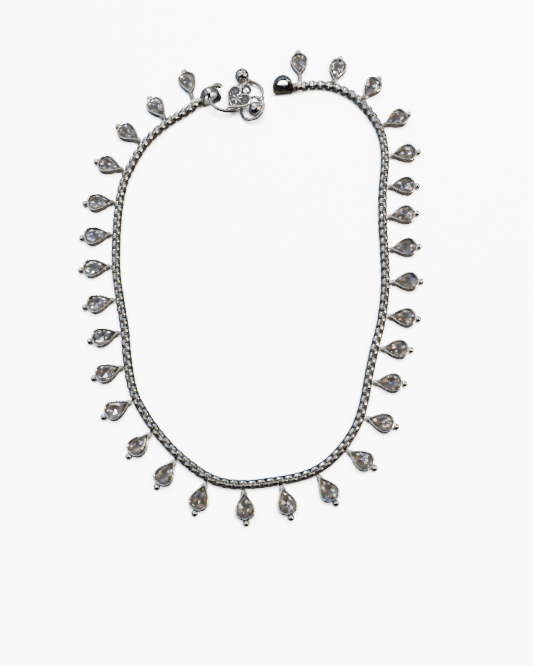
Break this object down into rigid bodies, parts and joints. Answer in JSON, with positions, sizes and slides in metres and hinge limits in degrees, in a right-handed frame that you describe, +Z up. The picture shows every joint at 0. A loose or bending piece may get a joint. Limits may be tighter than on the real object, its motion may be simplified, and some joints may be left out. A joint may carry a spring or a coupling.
{
  "type": "payal anklet",
  "caption": "Anklet of box chain laid open, with pear-shaped stone drops all round and an S-hook clasp that carries a heart tag, a ring and round bells.",
  "frame": {"origin": "middle of the anklet's footprint, on the surface that it lies on", "axes": "+Z up from the surface, +Y along the loop towards its clasp, +X across the loop towards the free bail's side"},
  "size_m": [0.0806, 0.1154, 0.0047],
  "materials": {
    "chain_silver": "polished silver, darker between the links",
    "drop_silver": "polished silver settings with serrated rims and brown-grey solder",
    "clasp_silver": "polished silver with light brown-grey tarnish",
    "tag_silver": "polished rim round a darker matt field",
    "bell_silver": "mirror polish",
    "stone": "foil-backed faceted stone, grey-brown with white and blue glints"
  },
  "bodies": {
    "root": {"chain": "chain_silver", "drop_01": "drop_silver", "drop_02": "drop_silver", "drop_03": "drop_silver", "drop_04": "drop_silver", "drop_05": "drop_silver", "drop_06": "drop_silver", "drop_07": "drop_silver", "drop_08": "drop_silver", "drop_09": "drop_silver", "drop_10": "drop_silver", "drop_11": "drop_silver", "drop_12": "drop_silver", "drop_13": "drop_silver", "drop_14": "drop_silver", "drop_15": "drop_silver", "drop_16": "drop_silver", "drop_17": "drop_silver", "drop_18": "drop_silver", "drop_19": "drop_silver", "drop_20": "drop_silver", "drop_21": "drop_silver", "drop_22": "drop_silver", "drop_23": "drop_silver", "drop_24": "drop_silver", "drop_25": "drop_silver", "drop_26": "drop_silver", "drop_27": "drop_silver", "drop_28": "drop_silver", "drop_29": "drop_silver", "drop_30": "drop_silver", "drop_31": "drop_silver", "bail_near": "clasp_silver", "bail_far": "clasp_silver", "s_hook": "clasp_silver", "charm_ring": "clasp_silver", "heart_tag": "tag_silver", "tag_ring": "clasp_silver", "bell_1": "bell_silver", "bell_2": "bell_silver"}
  },
  "joints": []
}
